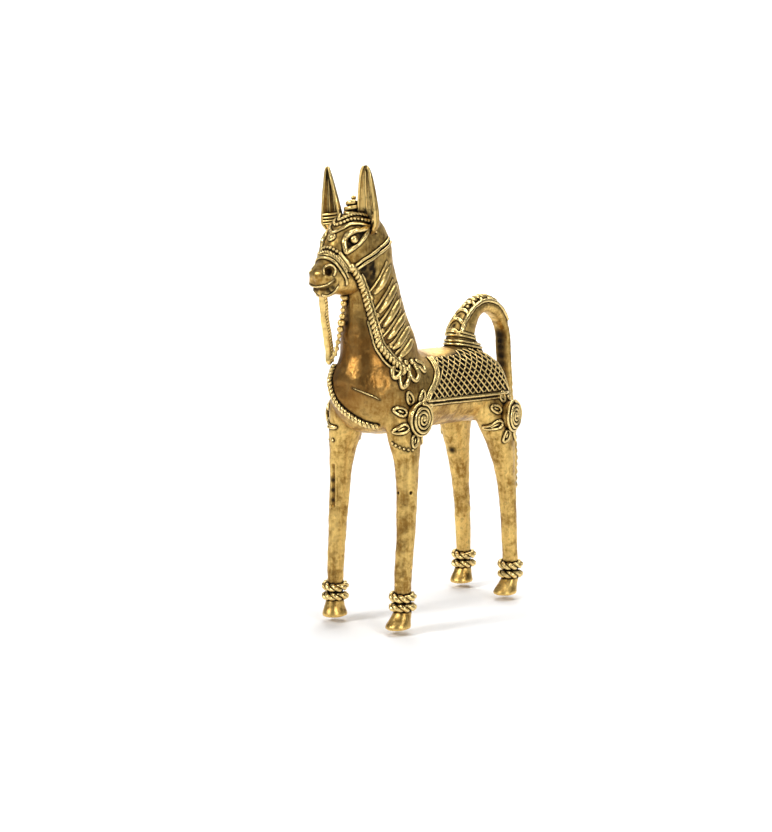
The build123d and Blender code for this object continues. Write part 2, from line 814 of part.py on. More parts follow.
# Loops where the left rein ends on the shoulder
rein_end = rein_points(rein_left_shares)[-1]
knot_middle = (rein_end[0] + petal_length, rein_end[1] + petal_length / 2, rein_end[2] - petal_length)
knot_plane = Plane(origin=knot_middle, x_dir=(0, 0, 1), z_dir=(1, 0, 0))
knot_bodies = [torso_clear, neck_clear, leg_clears["front_left"], rosette_petals["front_left"],
               rod(rein_points(rein_left_shares)[-3:], rein_radius + seat)]
save(leaf_loops(knot_plane, thread, knot_leaves, shoulder_skin, knot_bodies), "rein_knot_left")
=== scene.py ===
import math

import bpy
import numpy as np
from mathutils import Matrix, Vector, noise
from mathutils.bvhtree import BVHTree
from mathutils.kdtree import KDTree


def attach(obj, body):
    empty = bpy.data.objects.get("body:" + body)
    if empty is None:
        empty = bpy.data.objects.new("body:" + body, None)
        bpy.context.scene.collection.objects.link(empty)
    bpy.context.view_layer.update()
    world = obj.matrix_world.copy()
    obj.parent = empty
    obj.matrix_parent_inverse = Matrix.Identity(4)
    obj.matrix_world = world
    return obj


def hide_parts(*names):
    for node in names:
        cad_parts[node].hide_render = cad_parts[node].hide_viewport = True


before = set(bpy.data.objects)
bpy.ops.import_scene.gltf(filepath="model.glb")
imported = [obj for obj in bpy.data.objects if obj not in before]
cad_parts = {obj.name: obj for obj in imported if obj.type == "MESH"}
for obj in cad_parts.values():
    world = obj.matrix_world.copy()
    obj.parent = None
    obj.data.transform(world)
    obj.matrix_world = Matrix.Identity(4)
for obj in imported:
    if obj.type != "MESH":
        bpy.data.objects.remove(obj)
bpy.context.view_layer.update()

# The trunk: a round barrel of brass, run into a wax skin that was smoothed by hand
# over a clay core. A row holds shares of its length, half width, half height and
# lift. Sizes are in millimetres, before muzzle_lead moves the whole to the origin.
muzzle_lead = np.array((0, 1.4, 0))
trunk_start, trunk_level = -46.2, 84.2
trunk_length, trunk_half_width, trunk_half_height = 92.0, 15.6, 15.0
trunk_rows = [(0, .32, .38, .30), (.035, .64, .70, .22), (.10, .88, .98, .10),
              (.24, 1.04, 1.05, .04), (.48, .98, .98, 0), (.75, 1, .975, -.03),
              (.86, .92, .84, -.20), (.95, .62, .62, -.42), (1, .28, .32, -.48)]


def eased(rows, steps=8):
    """More rows on a smooth curve through the given ones."""
    rows = np.array(rows, float)
    slopes = np.gradient(rows, axis=0)
    out = []
    for here in range(len(rows) - 1):
        for step in range(steps):
            t = step / steps
            out.append((2 * t**3 - 3 * t**2 + 1) * rows[here] + (t**3 - 2 * t**2 + t) * slopes[here]
                       + (3 * t**2 - 2 * t**3) * rows[here + 1] + (t**3 - t**2) * slopes[here + 1])
    out.append(rows[-1])
    return np.array(out)


class Wax:
    """Wax being laid on: a growing mesh in millimetres."""

    def __init__(self):
        self.points, self.faces = [], []

    def rings(self, rings):
        """Closed skin over rings of equally many points."""
        start, count = len(self.points), len(rings[0])
        for ring in rings:
            self.points.extend(ring)
        for row in range(len(rings) - 1):
            low = start + row * count
            for k in range(count):
                after = (k + 1) % count
                self.faces.append((low + k, low + after, low + count + after, low + count + k))
        self.faces.append(tuple(start + k for k in range(count))[::-1])
        last = start + (len(rings) - 1) * count
        self.faces.append(tuple(last + k for k in range(count)))

    def loft(self, stations, sides=40, fullness=.94):
        """Skin over ovals, each with its middle, two directions and two half sizes."""
        turn = np.arange(sides) * math.tau / sides
        wide = np.sign(np.cos(turn)) * np.abs(np.cos(turn)) ** fullness
        high = np.sign(np.sin(turn)) * np.abs(np.sin(turn)) ** fullness
        self.rings([middle + np.outer(wide * a, across) + np.outer(high * b, up)
                    for middle, across, up, a, b in stations])

    def piece(self, name):
        """The wax as a smooth object, in metres."""
        mesh = bpy.data.meshes.new(name)
        mesh.from_pydata(((np.array(self.points) + muzzle_lead) * .001).tolist(), [], self.faces)
        mesh.validate()
        mesh.update()
        mesh.polygons.foreach_set("use_smooth", [True] * len(mesh.polygons))
        made = bpy.data.objects.new(name, mesh)
        bpy.context.scene.collection.objects.link(made)
        return made


X, Y, Z = np.eye(3)
body = Wax()
body.loft([(np.array((0, trunk_start + trunk_length * at, trunk_level + trunk_half_height * lift)),
            X, Z, trunk_half_width * wide, trunk_half_height * high)
           for at, wide, high, lift in eased(trunk_rows)])

# The neck and head: hollow brass like the trunk. The neck leans forwards as it rises
# into a round skull, and a long face slopes down from that to the muzzle.
neck_rows = [(-.2, -.02, .86, .84), (0, 0, .95, .93), (.2, .02, 1, 1), (.42, .16, .91, .91),
             (.60, .43, .79, .765), (.82, .74, .68, .67), (1, .99, .62, .60)]
skull_rows = [(-.5, -.1, .96, .96), (-.15, 0, 1, 1), (.3, .02, 1, .94), (.63, .22, .95, .82),
              (.85, .42, .76, .62), (1, .54, .30, .26)]
face_rows = [(-.2, .80, .60, .70), (0, .94, .72, .90), (.29, 1, .70, 1.12), (.60, .77, .43, .98),
             (.84, .61, .32, .66), (.95, .53, .27, .48), (1, .40, .18, .33)]
face_root, face_slope = np.array((0, -38, 142)), math.radians(35.5)
face_length, face_half_width, face_half_height = 27.5, 8.4, 7
face_ahead = np.array((0, -math.cos(face_slope), -math.sin(face_slope)))
face_up = np.array((0, -math.sin(face_slope), math.cos(face_slope)))


def column(foot, rise, lean, half_width, half_depth, rows):
    """An oval column that leans forwards as it rises."""
    body.loft([(np.array((0, foot[0] - lean * forwards, foot[1] + rise * at)), X, Y,
                half_width * wide, half_depth * deep)
               for at, forwards, wide, deep in eased(rows)])


column((-26.5, 84), rise=48, lean=7, half_width=12.6, half_depth=17.2, rows=neck_rows)
column((-33.5, 132), rise=19, lean=10.4, half_width=8, half_depth=10.4, rows=skull_rows)
body.loft([(face_root + face_length * at * face_ahead + face_half_height * (up - down) * face_up,
            X, face_up, face_half_width * wide, face_half_height * (up + down))
           for at, wide, up, down in eased(face_rows)])

# The legs and hooves: solid rods of rolled wax, joined to the trunk with a wide root
# and pinched to a hoof below. A leg has its side, where its sole, ankle and top are
# along the horse, how far out it stands and how far its top comes in.
leg_height, ankle_radius = 86, 3.25
hoof_height, hoof_half_width, hoof_half_length = 5.4, 4.4, 5.1
front_leg_rows = [(.04, 0, 0, .95, .95), (.16, 0, 0, .95, .95), (.44, .48, .03, 1.11, 1.11),
                  (.66, .76, .13, 1.27, 1.35), (.78, .88, .34, 1.56, 1.97),
                  (.90, .97, .68, 1.72, 2.8), (1, 1, 1, 1.6, 3)]
hind_leg_rows = [(.04, 0, 0, .92, .92), (.16, .01, 0, .92, .94), (.45, .19, .02, 1.04, 1.12),
                 (.61, .4, .07, 1.27, 1.46), (.74, .66, .18, 1.6, 2.1),
                 (.87, .90, .56, 1.76, 3.4), (1, 1, 1, 1.4, 3.8)]
hoof_rows = [(0, 0, 1, 1), (.05, .01, 1.03, 1.02), (.3, .08, .97, .96), (.68, .5, .82, .78),
             (1.1, 1, .76, .68)]
legs = {"front_left": (1, -34.6, -32.0, -27.6, 15.3, 6.2, front_leg_rows),
        "front_right": (-1, -34.8, -34.6, -31.0, 15.3, 6.2, front_leg_rows),
        "hind_left": (1, 34.6, 38.0, 27.0, 13.0, 5.0, hind_leg_rows),
        "hind_right": (-1, 40.2, 41.6, 31.0, 13.0, 5.0, hind_leg_rows)}
for side, sole, ankle, top, stance, inset, rows in legs.values():
    body.loft([(np.array((side * (stance - inset * inward), ankle + back * (top - ankle),
                          leg_height * at)), X, Y, ankle_radius * wide, ankle_radius * deep)
               for at, back, inward, wide, deep in eased(rows)])
    body.loft([(np.array((side * stance, sole + back * (ankle - sole), hoof_height * at)), X, Y,
                hoof_half_width * wide, hoof_half_length * long)
               for at, back, wide, long in eased(hoof_rows)])

# The tail: a flat rope of wax that rises from a wide foot on the rump, arches back
# and hangs down behind the hind legs. Rows are shares of its reach and rise or fall.
tail_foot_back, tail_foot_level, arch_level = 21.6, 95, 113.8
arch_reach, arch_rise, tail_fall = 28.6, 18.8, 78.4
tail_half_width, tail_half_depth = 3.6, 2.1
arch_rows = [(.03, 0, 2, 5.2), (.02, .16, 1.65, 4.2), (.01, .36, 1.3, 3.1), (.09, .63, 1.14, 2.45),
             (.25, .887, 1.05, 1.75), (.46, 1, 1, 1.4), (.68, .93, 1, 1.25), (.86, .71, 1, 1.1),
             (.97, .37, 1, 1)]
fall_rows = [(1, .245, .98, .98), (1.035, .37, .95, .95), (1.09, .51, .9, .9),
             (1.154, .65, .86, .88), (1.196, .79, .8, .82), (1.21, .90, .72, .78),
             (1.217, 1, .55, .65)]
tail_line = [(tail_foot_back + arch_reach * back, tail_foot_level + arch_rise * up, wide, thick)
             for back, up, wide, thick in arch_rows]
tail_line += [(tail_foot_back + arch_reach * back, arch_level - tail_fall * down, wide, thick)
              for back, down, wide, thick in fall_rows]
tail_line = eased(tail_line)
tail_ways = np.gradient(tail_line[:, :2], axis=0)
tail_ways /= np.linalg.norm(tail_ways, axis=1)[:, None]


def tail_point(place, depth=0, aside=0):
    """A point at that row of the tail, out from its middle line and to the side."""
    (back, up, wide, thick), way = tail_line[place], tail_ways[place]
    return np.array((aside * wide, back, up)) + np.array((0, -way[1], way[0])) * depth * thick


body.loft([(tail_point(place), X, np.array((0, -way[1], way[0])), tail_half_width * row[2],
            tail_half_depth * row[3])
           for place, (row, way) in enumerate(zip(tail_line, tail_ways))])

# The skin: the wax forms melted into one and rubbed smooth, then marked by hand with
# the nostrils, mouth, eye hollows and leg marks. Its slight waves come from the hand
# as well, and the brass takes all of it over in the pour.
wax_grain = .00045
whole = body.piece("whole_body")
melt = whole.modifiers.new("melt", "REMESH")
melt.mode, melt.voxel_size = "VOXEL", wax_grain
rub = whole.modifiers.new("rub", "SMOOTH")
rub.factor, rub.iterations = .5, 26
depsgraph = bpy.context.evaluated_depsgraph_get()
whole_mesh = bpy.data.meshes.new_from_object(whole.evaluated_get(depsgraph))
bpy.data.objects.remove(whole)
skin = np.empty(len(whole_mesh.vertices) * 3)
whole_mesh.vertices.foreach_get("co", skin)
skin = skin.reshape(-1, 3) * 1000 - muzzle_lead
flats = np.array([face.vertices[:] for face in whole_mesh.polygons])
edges = np.vstack([flats[:, pair] for pair in
                   ([0, 1], [1, 2], [2, 3], [3, 0], [1, 0], [2, 1], [3, 2], [0, 3])])


def skin_ways():
    """Outward direction at each point of the skin."""
    whole_mesh.vertices.foreach_set("co", (skin * .001).ravel())
    whole_mesh.update()
    ways = np.empty(len(skin) * 3)
    whole_mesh.vertex_normals.foreach_get("vector", ways)
    return ways.reshape(-1, 3)


def press(places, radius, depth, rim=0.0):
    """Dents (or lumps, with a negative depth) in the skin, with a raised rim."""
    ways = skin_ways()
    for place in places:
        away = np.linalg.norm(skin - np.array(place), axis=1) / radius
        dent = -depth * np.exp(-away**4) + rim * np.exp(-((away - 1.25) / .3) ** 2)
        skin[:] = skin + ways * dent[:, None]


def soften(places, reach, rounds):
    """The skin rubbed smooth around the places, as with a warm thumb."""
    away = np.min([np.linalg.norm(skin - np.array(place), axis=1) for place in places], axis=0)
    rub = np.clip(1.5 - 1.5 * away / reach, 0, 1)
    here, there = edges[(rub[edges] > 0).all(axis=1)].T
    found = np.bincount(here, minlength=len(skin))
    touched, count = found > 0, np.maximum(found, 1)[:, None]
    for _ in range(rounds):
        mean = np.stack([np.bincount(here, skin[there, k], len(skin)) for k in range(3)], axis=1)
        skin[touched] += ((mean / count - skin) * rub[:, None] * .7)[touched]


# Where the camera stands for the photograph, with camera_reach as its focal length
# in pixels. A mark is a place seen in that picture, across and down in its pixels,
# and seen() puts it on the skin that shows there.
camera_place = np.array((377.03, -470.63, 148.40))
camera_turn, camera_dip = math.radians(40.12), math.radians(7.106)
camera_ahead = np.array((-math.sin(camera_turn) * math.cos(camera_dip),
                         math.cos(camera_turn) * math.cos(camera_dip), -math.sin(camera_dip)))
camera_right = np.array((math.cos(camera_turn), math.sin(camera_turn), 0))
camera_high = np.cross(camera_right, camera_ahead)
camera_reach = 1598.1
photo_width, photo_middle = 772, (386, 416)


def surface():
    """The skin as it is now, for finding places on it."""
    return BVHTree.FromPolygons(skin.tolist(), flats.tolist())


def seen(mark):
    """The point of the skin that shows at that mark of the photograph."""
    way = (camera_ahead + (mark[0] - photo_middle[0]) / camera_reach * camera_right
           - (mark[1] - photo_middle[1]) / camera_reach * camera_high)
    hit = ground.ray_cast(Vector(camera_place), Vector(way).normalized())[0]
    if hit is None:
        near = [ground.find_nearest(Vector(camera_place + way * reach))
                for reach in range(500, 680, 3)]
        hit = min(near, key=lambda found: found[3])[0]
    return np.array(hit)


def other_side(places):
    """The same places on the horse's other side."""
    return [np.array((-p[0], p[1], p[2])) for p in places]


chest_crease_marks = [(334, 362), (340, 361), (346, 360), (353, 361), (360, 362), (367, 366),
                      (374, 372), (381, 380)]
right_hip_top = [(-9, 42, 86), (-7, 44, 83), (-11, 40, 84), (-12, 37, 86), (-5, 44, 86)]
left_hip_top = [(9, 38, 86), (7, 40, 84), (11, 36, 85)]
chin_mark, nose_bump_mark, nostril_mark = (326, 290.5), (319, 277), (329, 271)
mouth_marks = [(318, 289.5), (323, 290.5), (328.5, 288.5), (333, 285), (335.5, 281.5)]
eye_mark = (354, 239.6)
shin_groove_marks = [(333, down) for down in range(466, 508, 3)]
knee_pit_marks = [(398, 493), (411, 493)]
hand_waves = ((.11, .3), (.38, .13), (1.1, .05))

ground = surface()
crease = [seen(mark) for mark in chest_crease_marks]
soften(crease + other_side(crease), reach=8, rounds=160)
soften(right_hip_top, reach=8, rounds=220)
soften(left_hip_top, reach=7, rounds=120)
ground = surface()
chin = seen(chin_mark)
press([chin, *other_side([chin])], radius=4.2, depth=-.9)
press([seen(nose_bump_mark)], radius=2.4, depth=-.6)
ground = surface()
nostril = seen(nostril_mark)
press([nostril, *other_side([nostril])], radius=1.7, depth=1.9, rim=.3)
mouth = eased([seen(mark) for mark in mouth_marks], 5)
press([*mouth, *other_side(mouth)], radius=.9, depth=.7)
ball = seen(eye_mark)
press([ball, *other_side([ball])], radius=2.6, depth=.7)
press([seen(mark) for mark in shin_groove_marks], radius=.8, depth=.55)
press([seen(mark) for mark in knee_pit_marks], radius=.6, depth=.6)
ways = skin_ways()
bumps = np.array([sum(noise.noise(Vector(p) * fine) * high for fine, high in hand_waves)
                  for p in skin])
bumps *= np.clip(skin[:, 2] / 3, 0, 1)
skin += ways * bumps[:, None]
skin[:, 2] = np.maximum(skin[:, 2], 0)
ways = skin_ways()
ground = surface()


# The brass of the body: as it comes from the mould, brown with burnt clay in every
# hollow, and rubbed bright where hands reach, with painted shade added in the hollows and
# on the breast. The skin is then shared out among the pieces of the body, with no step
# between them, because they are poured as one.
class Glaze:
    """A value, colour or direction in a material, that sums are written with."""

    def __init__(self, tree, socket=None):
        self.tree, self.socket = tree, socket

    def node(self, kind, settings, inputs, output=0):
        made = self.tree.nodes.new("ShaderNode" + kind)
        for name, value in settings.items():
            setattr(made, name, value)
        for name, value in inputs.items():
            if isinstance(value, Glaze):
                self.tree.links.new(value.socket, made.inputs[name])
            else:
                made.inputs[name].default_value = value
        return Glaze(self.tree, made.outputs[output]) if len(made.outputs) else made

    def math(self, operation, *values):
        return self.node("Math", {"operation": operation}, dict(enumerate(values)))

    def __add__(self, other):
        return self.math("ADD", self, other)

    def __mul__(self, other):
        return self.math("MULTIPLY", self, other)

    def __sub__(self, other):
        return self.math("SUBTRACT", self, other)

    def __rsub__(self, other):
        return self.math("SUBTRACT", other, self)

    __radd__, __rmul__ = __add__, __mul__

    def capped(self):
        """Never more than 1."""
        return self.math("MINIMUM", self, 1.0)

    def between(self, low, high):
        """0 below low, 1 above high."""
        return self.node("MapRange", {"interpolation_type": "SMOOTHSTEP"},
                         {0: self, 1: low, 2: high})

    def blend(self, low, high):
        """One colour where this is 0, the other where it is 1."""
        return self.node("Mix", {"data_type": "RGBA"}, {0: self, 6: low, 7: high}, 2)


def blank_material(name):
    """A material with nothing in it, and a start for its sums."""
    made = bpy.data.materials.new(name)
    made.use_nodes = True
    made.node_tree.nodes.clear()
    return made, Glaze(made.node_tree)


def cast_brass(name, worn, metal, patina_and_shade_colour, polish, breast_shade=0.0, hollow=.0012, pitted=.35, with_shade_and_patina=False):
    """Brass with its worn, plain and patina-and-shade colours, its roughness, the share of the
    painted brown shade on the breast, the reach of its hollows in metres and its pits."""
    made, start = blank_material(name)
    place = start.node("TexCoord", {}, {}, 3)

    def grain(scale, detail, rough=.55, at=place):
        return start.node("TexNoise", {}, {"Vector": at, "Scale": scale, "Detail": detail,
                                           "Roughness": rough})

    openness = start.node("AmbientOcclusion", {"samples": 6}, {"Distance": hollow}, 1)
    edge = start.node("NewGeometry", {}, {}, 7)
    cloud, speck, smear = grain(90, 4), grain(900, 5), grain(330, 4, .7)
    drawn = start.node("Mapping", {}, {"Vector": place, "Scale": (9.0, 9.0, .55)})
    streak = grain(110, 4, .6, drawn)
    worked = (cloud - .5) * 1.6 + (streak - .5) * .7 + (smear - .5) * 1.5
    # The worn colour: bright on edges and where worn at random. It is also scaled by the ambient
    # occlusion, so open faces are painted lighter and hollows darker as painted shade.
    wear_and_light = (edge.between(.47, .57) * .75 + worked + .25) * openness
    # Darkening in the hollows from the ambient occlusion: the casting's real dark patina and
    # painted shade together.
    patina_and_shade = (1 - openness.between(.42, .94)) * (.8 + cloud * .6)
    if with_shade_and_patina:
        # Painted shade and patina read from the skin's points: dark beside threads and under the
        # net, with painted shadow in corners.
        shade_and_patina = start.node("Attribute", {"attribute_name": "shade_and_patina"}, {}, 2)
        patina_and_shade = patina_and_shade + shade_and_patina * (.82 + smear * .4)
    patina_and_shade = (patina_and_shade + smear.between(.50, .68) * cloud.between(.42, .60) * .42).capped()
    colour = wear_and_light.between(.05, .85).blend(metal, worn)
    # Painted shade on the breast: dark brown laid round a point on the chest, full within 10 mm and
    # gone by 30 mm.
    if breast_shade:
        chest = start.node("VectorMath", {"operation": "DISTANCE"},
                           {0: place, 1: (.001, -.0416, .096)}, 1)
        breast_shade_mask = (1 - chest.between(.010, .030)) * breast_shade
        colour = breast_shade_mask.blend(colour, (.22, .10, .022, 1))
    # The hollows take the dark colour, for patina and painted shade alike.
    colour = patina_and_shade.blend(colour, patina_and_shade_colour)
    pits = start.node("TexVoronoi", {}, {"Vector": place, "Scale": 420})
    pit = (1 - pits.between(.08, .20)) * grain(60, 2).between(.52, .66) * pitted
    colour = pit.blend(colour, patina_and_shade_colour)
    rough = polish + patina_and_shade * .4 + speck * .16 + pit * .3
    bump = start.node("Bump", {}, {"Strength": .45, "Distance": .00030,
                                   "Height": speck * .5 + smear * 1.3 + streak * .3 - pit * 1.6})
    shader = start.node("BsdfPrincipled", {}, {"Base Color": colour, "Metallic": 1 - patina_and_shade * .2,
                                               "Roughness": rough, "Normal": bump})
    start.node("OutputMaterial", {}, {"Surface": shader})
    return made


# The body's brass carries the per-point painted shade and patina, and the brown painted shade on
# the breast.
skin_brass = cast_brass("skin_brass", worn=(.84, .57, .18, 1), metal=(.28, .150, .032, 1),
                        patina_and_shade_colour=(.016, .009, .003, 1), polish=.31, breast_shade=.85, with_shade_and_patina=True)
rump_level, tail_hangs_behind = 96.5, 47.3
throat_level, jaw_front, jaw_level = 131, -43.5, 112
neck_foot_middle, neck_foot_level, neck_foot_slope = -26, 95.5, .2
leg_top, crotch_half_width = 71, 4.5


def region(p):
    """The part of the body that a point of the skin belongs to."""
    x, y, z = p
    if (z > rump_level and y > 12) or y > tail_hangs_behind:
        return "tail"
    if z > throat_level or (y < jaw_front and z > jaw_level):
        return "head"
    if z > neck_foot_level + neck_foot_slope * (y - neck_foot_middle):
        return "neck"
    end = ("front" if y < 0 else "hind") + ("_left" if x > 0 else "_right")
    if z < hoof_height:
        return "hoof_" + end
    if z < leg_top and abs(x) > crotch_half_width:
        return "leg_" + end
    return "torso"


shells = []
owners = np.array([region(p) for p in skin[flats].mean(axis=1)])
for part in sorted(set(owners)):
    own = flats[owners == part]
    used, local = np.unique(own, return_inverse=True)
    wax = Wax()
    wax.points, wax.faces = skin[used], local.reshape(own.shape).tolist()
    shell = wax.piece("cast_" + part)
    shell.data.normals_split_custom_set_from_vertices(ways[used].tolist())
    shell.data.materials.append(skin_brass)
    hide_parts(part)
    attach(shell, "root")
    shells.append((shell, used))

# The clay core inside the trunk and neck, as the fire leaves it: dark, dry and
# crumbly. It stays in the casting and does not show.
clay, start = blank_material("fired_clay")
crumbs = start.node("TexNoise", {}, {"Vector": start.node("TexCoord", {}, {}, 3), "Scale": 500.0,
                                     "Detail": 6.0})
shader = start.node("BsdfPrincipled", {}, {
    "Base Color": crumbs.between(.3, .7).blend((.12, .07, .045, 1), (.32, .20, .13, 1)),
    "Roughness": .8 + crumbs * .15,
    "Normal": start.node("Bump", {}, {"Strength": .6, "Distance": .0004, "Height": crumbs})})
start.node("OutputMaterial", {}, {"Surface": shader})
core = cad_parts["clay_core"]
core.data.materials.clear()
core.data.materials.append(clay)

# The saddle blanket: wax threads laid on each flank in two crossing layers, in a
# border of curved threads in front and a doubled hem below. Like all the ornament,
# the threads are rolled thin, pressed on while warm and cast with the body.
thread_brass = cast_brass("thread_brass", worn=(.95, .71, .29, 1), metal=(.42, .245, .062, 1),
                          patina_and_shade_colour=(.012, .007, .002, 1), polish=.2, hollow=.0015, pitted=.12)
chance = np.random.default_rng(11)
shadow_casters = []
net_threads, net_spacing, net_foot, net_top = 20, 3.5, 82.3, 96.4
hem_level, hem_front, hem_fall = 81.9, -18, .025
front_edge_levels = (81.6, 85, 88, 91, 94, 97)
front_edge_places = (-18.5, -16.6, -13.2, -10.4, -9, -8.4)
rear_edge_levels = (81, 84, 87, 90, 93, 97, 99)
rear_edge_places = (34, 32.6, 31.8, 31.4, 29.5, 26, 23)


def along(points, step=.4):
    """Even steps along a smooth line through the points."""
    fine = eased(points, 10) if len(points) > 2 else np.linspace(points[0], points[1], 12)
    run = np.concatenate([[0], np.cumsum(np.linalg.norm(np.diff(fine, axis=0), axis=1))])
    even = np.linspace(0, run[-1], max(int(run[-1] / step), 3) + 1)
    return np.stack([np.interp(even, run, fine[:, k]) for k in range(3)], axis=1)


def on_skin(line, rise):
    """The line laid on the skin, with its middle that high above it."""
    laid = []
    for point in line:
        foot, up, _, _ = ground.find_nearest(Vector(point))
        laid.append(np.array(foot) + np.array(up) * rise)
    laid = np.array(laid)
    laid[1:-1] = (laid[:-2] + 2 * laid[1:-1] + laid[2:]) / 4
    return laid


def frames_along(line):
    """At each point: the way ahead and two directions square to it."""
    ahead = np.gradient(line, axis=0)
    ahead /= np.linalg.norm(ahead, axis=1)[:, None] + 1e-9
    across = np.cross(ahead[0], Z if abs(ahead[0][2]) < .9 else X)
    sides = []
    for way in ahead:
        across = across - way * across.dot(way)
        across = across / np.linalg.norm(across)
        sides.append((across, np.cross(way, across)))
    return ahead, sides


def thread(wax, points, radius, rise=.55, laid=True, sides=8, uneven=.07, slim=0.0):
    """A rolled wax thread along the points, with rounded ends."""
    line = along(np.array(points, float))
    if laid:
        line = on_skin(line, radius * rise)
    ahead, frame_sides = frames_along(line)
    wobble = 1 + uneven * np.convolve(chance.normal(size=len(line) + 4), np.ones(5) / 2.2, "valid")
    swell = radius * wobble * (1 - slim * np.abs(np.linspace(-1, 1, len(line))) ** 2.5)
    # Each spot of the thread is kept so that painted shade and patina can be darkened on the skin
    # beside it.
    shadow_casters.extend((*spot, wide * (.85 if rise < 0 else 1)) for spot, wide in zip(line, swell))
    turn = np.arange(sides) * math.tau / sides
    rings = []
    for place, (across, up) in enumerate(frame_sides):
        ring = np.outer(np.cos(turn), across) + np.outer(np.sin(turn), up)
        if place == 0:
            rings.append(line[0] - ahead[0] * radius * .8 + ring * radius * .35)
        rings.append(line[place] + ring * swell[place])
    rings.append(line[-1] + ahead[-1] * radius * .8 + ring * radius * .35)
    wax.rings(rings)


def set_on(wax, name, nodes, material=thread_brass):
    """The finished wax as a piece that stands for its nodes."""
    made = wax.piece(name)
    made.data.materials.append(material)
    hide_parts(*nodes)
    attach(made, "root")


def flank(side, y, z):
    """The point of a flank at that place of the side view."""
    hit = ground.ray_cast(Vector((side * 40, y, z)), Vector((-side, 0, 0)))[0]
    return np.array(hit or ground.find_nearest(Vector((side * 12, y, z)))[0])


def front_edge(z):
    return np.interp(z, front_edge_levels, front_edge_places)


def rear_edge(z):
    return np.interp(z, rear_edge_levels, rear_edge_places)


def spine_rise(y):
    """How much higher the spine lies there than behind the neck."""
    return np.clip(y * .15, 0, 1.9)


def run_thread(net, side, start_y, lean, radius, rise):
    """One thread of the net, between the borders, the spine and the hem."""
    spots = []
    for z in np.arange(net_foot, net_top + 2, .7):
        y = start_y + lean * (z - net_foot)
        if front_edge(z) + .3 < y < rear_edge(z) - .2 and z < net_top + spine_rise(y):
            spots.append(flank(side, y, z))
    if len(spots) > 3:
        thread(net, spots[::2] if len(spots) > 8 else spots, radius, rise)


for label, side in (("left", 1), ("right", -1)):
    net = Wax()
    for start_y, lean, radius, rise in ((-36, 1.2, .28, .5), (-16, -1.15, .31, 1.2)):
        for count in range(net_threads):
            run_thread(net, side, start_y + count * net_spacing, lean, radius, rise)
    set_on(net, "blanket_net_" + label, ["blanket_field_" + label])
    edge = Wax()
    for shift, radius in ((-2.3, .45), (-1.1, .40), (0, .5)):
        thread(edge, [flank(side, front_edge(z) + shift, z)
                      for z in (96.6, 94, 91, 88, 85, 83, 82)], radius)
    set_on(edge, "blanket_front_edge_" + label, ["blanket_front_border_" + label])
    edge = Wax()
    thread(edge, [flank(side, rear_edge(z), z) for z in (95.5, 93, 90, 87, 84, 82)], .5)
    set_on(edge, "blanket_rear_edge_" + label, ["blanket_rear_border_" + label])
    hem = Wax()
    for low, start, end, radius in ((0, -18.5, 34.6, .62), (1.6, -17, 34, .40)):
        thread(hem, [flank(side, y, hem_level - low - hem_fall * (y - hem_front))
                     for y in np.arange(start, end, 4)], radius)
    set_on(hem, "blanket_hem_threads_" + label, ["blanket_hem_" + label])

# The anklets: two rings of doubled wax rope above each hoof, wound on a little askew
# and pressed together. Each is wound once its leg's rosette is done, in the loop of
# the next section.
anklet_level, ring_height, ring_radius = 5.65, 3.9, 3.75
anklet_rope_radius, anklet_rope_pitch = 1.45, 5.2
ring_tilts = ((.5, .35), (1.5, -.3))


def twist(wax, points, radius, pitch, strands=2, rise=.6, laid=True):
    """Threads twisted together into a rope."""
    line = along(np.array(points, float), .25)
    if laid:
        line = on_skin(line, radius * rise)
    _, frame_sides = frames_along(line)
    run = np.arange(len(line)) * .25 * math.tau / pitch
    for strand in range(strands):
        turn = run + strand * math.tau / strands
        path = [point + radius * .5 * (math.cos(t) * across + math.sin(t) * up)
                for point, t, (across, up) in zip(line, turn, frame_sides)]
        thread(wax, path[::2], radius * .56, laid=False, sides=7, uneven=.03)


def wind_anklet(name, middle):
    """The two rings around a leg, above a point on its hoof's axis."""
    wound = Wax()
    for share, tilt in ring_tilts:
        twist(wound, [middle + ring_radius * np.array((math.cos(t), math.sin(t), 0))
                      + Z * (anklet_level + share * ring_height + tilt * math.cos(t + .8))
                      for t in np.linspace(0, math.tau * 1.02, 36)],
              anklet_rope_radius, anklet_rope_pitch, laid=False)
    set_on(wound, "anklet_rings_" + name, ["anklet_" + name])


# The rosettes: a thread coiled flat on each shoulder and hip, with a rim, a small
# ball in the middle and a ring of leaf loops laid on the body around it. A place is
# how far out, how far behind the leg's top and how high the rosette's middle lies.
shoulder_place, hip_place, hip_turn = (19.4, 2.0, 76), (18.6, 5.6, 71.8), math.radians(12)
plate_rows = ((5.2, 5.2), (2.5, 5.6), (.9, 5.6), (.55, 5.2), (.45, 2.5))
coil_radius, coil_pitch, coil_turns, coil_crown, coil_thread = 5.55, 1.5, 3.35, .33, .55
rim_radius, centre_ball = 5.9, .85
leaf_count, leaf_middle, leaf_half_length, leaf_half_width = 8, 8.3, 2.4, 1.35


def bead(wax, middle, radius, sides=12):
    """A small ball of wax, pressed on."""
    # The ball is kept so that painted shade and patina can be darkened on the skin round it.
    shadow_casters.append((*middle, radius))
    turn = np.arange(sides) * math.tau / sides
    rings = []
    for level in np.linspace(-.98, .98, 8):
        out = math.sqrt(1 - level * level)
        rings.append(middle + radius * (np.outer(np.cos(turn) * out, X)
                                        + np.outer(np.sin(turn) * out, Y) + level * Z))
    wax.rings(rings)


def leaf_loop(way, across, outward, middle):
    """A leaf's outline on the body, from the end that is nearest the rosette."""
    loop = []
    for t in np.linspace(0, math.tau, 17):
        spot = (middle + way * (leaf_middle - leaf_half_length * math.cos(t))
                + across * leaf_half_width * math.sin(t) * (1 + .25 * math.cos(t)))
        hit = ground.ray_cast(Vector(spot + outward * 10), Vector(-outward))[0]
        if hit and (np.array(hit) - spot).dot(outward) > -11:
            loop.append(np.array(hit))
        else:
            loop.append(spot - outward * 9)
    return loop


